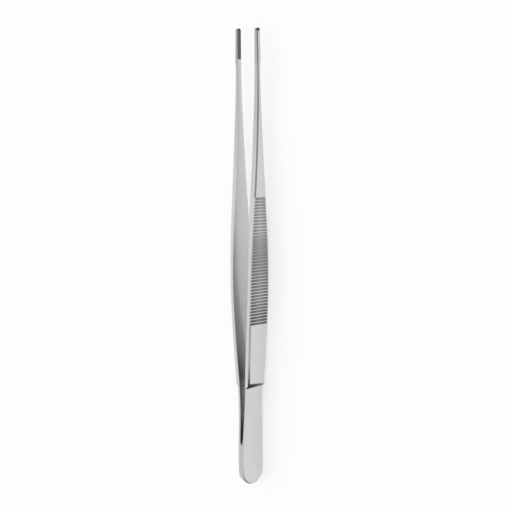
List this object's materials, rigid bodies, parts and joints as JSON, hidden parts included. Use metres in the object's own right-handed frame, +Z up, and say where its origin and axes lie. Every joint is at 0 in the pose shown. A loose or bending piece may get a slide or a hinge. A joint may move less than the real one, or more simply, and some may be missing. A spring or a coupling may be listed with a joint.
{
  "type": "thumb forceps",
  "caption": "Long straight thumb forceps: spring arms joined at the heel, with a fluted grip, slim shanks and serrated jaws.",
  "frame": {"origin": "under the middle of the forceps as they lie on the long edges of the heel", "axes": "+X from the heel to the tips, the arms open along Y, +Z up across the width of the arms"},
  "size_m": [0.2, 0.0152, 0.0116],
  "materials": {
    "satin_steel": "satin ground stainless steel"
  },
  "bodies": {
    "root": {"left_arm": "satin_steel", "right_arm": "satin_steel"}
  },
  "joints": []
}
